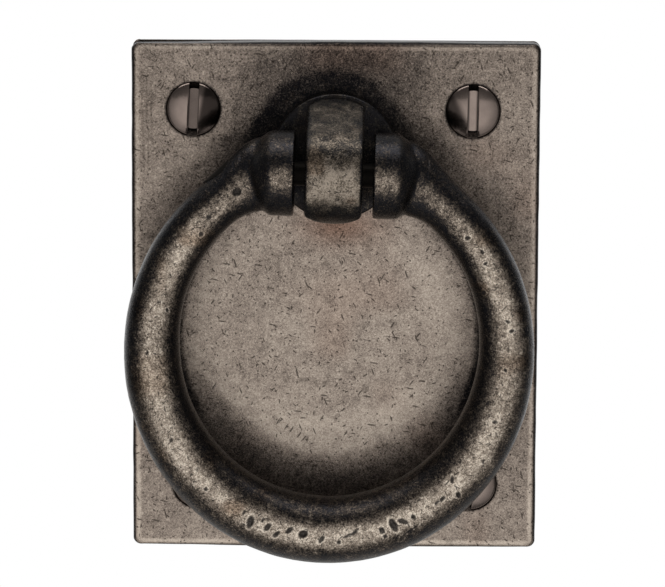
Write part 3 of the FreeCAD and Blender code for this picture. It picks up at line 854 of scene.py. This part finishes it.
# Bronze-plated steel, turned and tumbled: smoother than the castings, pinkish grey, dark where it is sunk and
# where shade is painted on the heads.
screwLook = dict(cloud=1.8, grain=0.25, dark="#92837b", pale="#b3a298", sunk="#1f1b19", rough=(0.14, 0.26),
                 bump=0.15, bumpDepth=0.03)


def platedScrew():
    look = screwLook
    material, tree, shader, place = newMetal("bronzePlatedScrew")
    cloud = addNode(tree, "TexNoise", {"Vector": place, "Scale": 1 / (look["cloud"] * mm), "Detail": 3.0})
    grain = addNode(tree, "TexNoise", {"Vector": place, "Scale": 1 / (look["grain"] * mm), "Detail": 2.0})
    sunk = addNode(tree, "Attribute", attribute_name="sunk").outputs["Fac"]
    bronze = addNode(tree, "Mix", {0: cloud.outputs["Fac"], 6: tint(look["dark"]), 7: tint(look["pale"])},
                     data_type="RGBA")
    colour = addNode(tree, "Mix", {0: sunk, 6: bronze.outputs[2], 7: tint(look["sunk"])}, data_type="RGBA")
    tree.links.new(colour.outputs[2], shader.inputs["Base Color"])
    low, high = look["rough"]
    gloss = addNode(tree, "MapRange", {"Value": grain.outputs["Fac"], "To Min": low, "To Max": high})
    tree.links.new(gloss.outputs[0], shader.inputs["Roughness"])
    bump = addNode(tree, "Bump", {"Height": grain.outputs["Fac"], "Strength": look["bump"],
                                  "Distance": look["bumpDepth"] * mm})
    tree.links.new(bump.outputs[0], shader.inputs["Normal"])
    return material


points, faces = screwsShape()
addPiece("fixingScrews", points, faces, dressScrews, platedScrew(), "fixed_plate", "fixing_screws",
         crease=30)


# Hinge pin: drawn steel painted nearly black, with a dull sheen, as painted shade for the dark gaps beside
# the lug where it shows. The CAD shape is kept.
pinLook = dict(streak=0.4, dark="#100f0e", pale="#23201d", rough=(0.45, 0.6))


def shadedPinSteel():
    look = pinLook
    material, tree, shader, place = newMetal("pinSteelPaintedShade")
    streak = addNode(tree, "TexNoise", {"Vector": place, "Scale": 1 / (look["streak"] * mm), "Detail": 3.0})
    colour = addNode(tree, "Mix", {0: streak.outputs["Fac"], 6: tint(look["dark"]), 7: tint(look["pale"])},
                     data_type="RGBA")
    tree.links.new(colour.outputs[2], shader.inputs["Base Color"])
    low, high = look["rough"]
    gloss = addNode(tree, "MapRange", {"Value": streak.outputs["Fac"], "To Min": low, "To Max": high})
    tree.links.new(gloss.outputs[0], shader.inputs["Roughness"])
    return material


pin = frame["nodes"]["hinge_pin"]
pin.data.materials.clear()
pin.data.materials.append(shadedPinSteel())
print("pin coloured")


# Studio, in metres: a broad dim light in front with a brighter core, a narrow one overhead, and a white
# surround behind the handle.
studio = dict(frontDistance=0.8, wideSize=(2.5, 1.7), wideMiddle=-0.5, wideLevel=0.42,
              coreSize=(0.9, 0.8), coreMiddle=-0.36, coreLevel=2.4,
              topHeight=0.8, topAhead=0.09, topSize=(1.2, 0.32), topLevel=3.3, ambient=0.16,
              behind=(0.38, 0.8), floorDrop=0.4, floorHalf=0.9, floorNear=-0.1, floorFar=1.0,
              floorPaint="#e6e4e0", floorRough=0.7, floorWhite=0.8, floorShine=0.3)
white = (1, 1, 1, 1)


def softbox(name, place, size, level, tilt):
    # A rectangular lamp that faces down, then is tilted to the front
    light = bpy.data.lights.new(name, "AREA")
    light.shape = "RECTANGLE"
    light.size, light.size_y = size
    light.energy = level * np.pi * size[0] * size[1]  # a level of 1 reflects as white
    lamp = bpy.data.objects.new(name, light)
    lamp.location = place
    lamp.rotation_euler = np.radians((tilt, 0, 0))
    lamp.visible_camera = False
    bpy.context.scene.collection.objects.link(lamp)


for part in ("wide", "core"):
    softbox(part + "FrontSoftbox", (0, -studio["frontDistance"], studio[part + "Middle"]),
            studio[part + "Size"], studio[part + "Level"], 90)
softbox("topSoftbox", (0, -studio["topAhead"], studio["topHeight"]), studio["topSize"], studio["topLevel"], 0)


def studioSurround():
    # White to the camera and to what reflects the back of the room, dim grey elsewhere
    world = bpy.data.worlds.new("studioSurround")
    world.use_nodes = True
    tree = world.node_tree
    way = addNode(tree, "SeparateXYZ", {0: addNode(tree, "TexCoord").outputs["Generated"]})
    begins, full = studio["behind"]
    behind = addNode(tree, "MapRange", {"Value": way.outputs["Y"], "From Min": begins, "From Max": full})
    path = addNode(tree, "LightPath").outputs
    shine = addNode(tree, "Math", {0: path["Is Glossy Ray"], 1: path["Is Transmission Ray"]}, operation="ADD")
    seen = addNode(tree, "Math", {0: shine.outputs[0], 1: behind.outputs[0], 2: path["Is Camera Ray"]},
                   operation="MULTIPLY_ADD", use_clamp=True)
    grey = (*[studio["ambient"]] * 3, 1)
    shade = addNode(tree, "Mix", {0: seen.outputs[0], 6: grey, 7: white}, data_type="RGBA")
    tree.links.new(shade.outputs[2], tree.nodes["Background"].inputs["Color"])
    return world


def palePaint():
    # Matt pale paint, whitened to the camera and a little to what reflects it
    material = bpy.data.materials.new("palePaint")
    material.use_nodes = True
    tree = material.node_tree
    paint = tree.nodes["Principled BSDF"]
    paint.inputs["Base Color"].default_value = tint(studio["floorPaint"])
    paint.inputs["Roughness"].default_value = studio["floorRough"]
    path = addNode(tree, "LightPath").outputs
    shine = addNode(tree, "Math", {0: path["Is Glossy Ray"], 1: studio["floorShine"]}, operation="MULTIPLY")
    seen = addNode(tree, "Math", {0: path["Is Camera Ray"], 1: studio["floorWhite"], 2: shine.outputs[0]},
                   operation="MULTIPLY_ADD")
    glow = addNode(tree, "Emission", {"Color": white, "Strength": 1.0})
    mixed = addNode(tree, "MixShader", {0: seen.outputs[0], 1: paint.outputs[0], 2: glow.outputs[0]})
    tree.links.new(mixed.outputs[0], tree.nodes["Material Output"].inputs["Surface"])
    return material


bpy.context.scene.world = studioSurround()
floorMesh = bpy.data.meshes.new("floor")
corners = [(-1, "floorNear"), (1, "floorNear"), (1, "floorFar"), (-1, "floorFar")]
floorPoints = [(side * studio["floorHalf"], studio[end], -studio["floorDrop"]) for side, end in corners]
floorMesh.from_pydata(floorPoints, [], [(0, 1, 2, 3)])
floorMesh.materials.append(palePaint())
floor = bpy.data.objects.new("floor", floorMesh)
bpy.context.scene.collection.objects.link(floor)
print("studio lit")


# Camera: just right of the middle and a little above, a long lens, with a slight roll
view = dict(azimuth=0.8, elevation=9.0, roll=0.263, distance=0.467738, look=(0, -0.0032, 0),
            focal=3748.066, middle=(334.9, 297.4), frame=(665, 587))
azimuth, elevation, roll = np.radians([view["azimuth"], view["elevation"], view["roll"]])
level = np.cos(elevation)
back = np.array([np.sin(azimuth) * level, -np.cos(azimuth) * level, np.sin(elevation)])
right = np.array([np.cos(azimuth), np.sin(azimuth), 0])
up = np.cross(back, right)
rolledRight = np.cos(roll) * right + np.sin(roll) * up
rolledUp = np.cos(roll) * up - np.sin(roll) * right
eye = np.array(view["look"]) + back * view["distance"]
stance = np.vstack([np.column_stack([rolledRight, rolledUp, back, eye]), [0, 0, 0, 1]])
lens = bpy.data.cameras.new("camera")
wide, high = view["frame"]
lens.sensor_width = 36.0
lens.lens = view["focal"] / wide * lens.sensor_width
lens.shift_x = (wide / 2 - view["middle"][0]) / wide
lens.shift_y = (view["middle"][1] - high / 2) / wide
lens.clip_start, lens.clip_end = 0.01, 50
camera = bpy.data.objects.new("camera", lens)
camera.matrix_world = Matrix(stance.tolist())
bpy.context.scene.collection.objects.link(camera)
bpy.context.scene.camera = camera
bpy.context.scene.view_settings.view_transform = "Standard"
print("camera set")
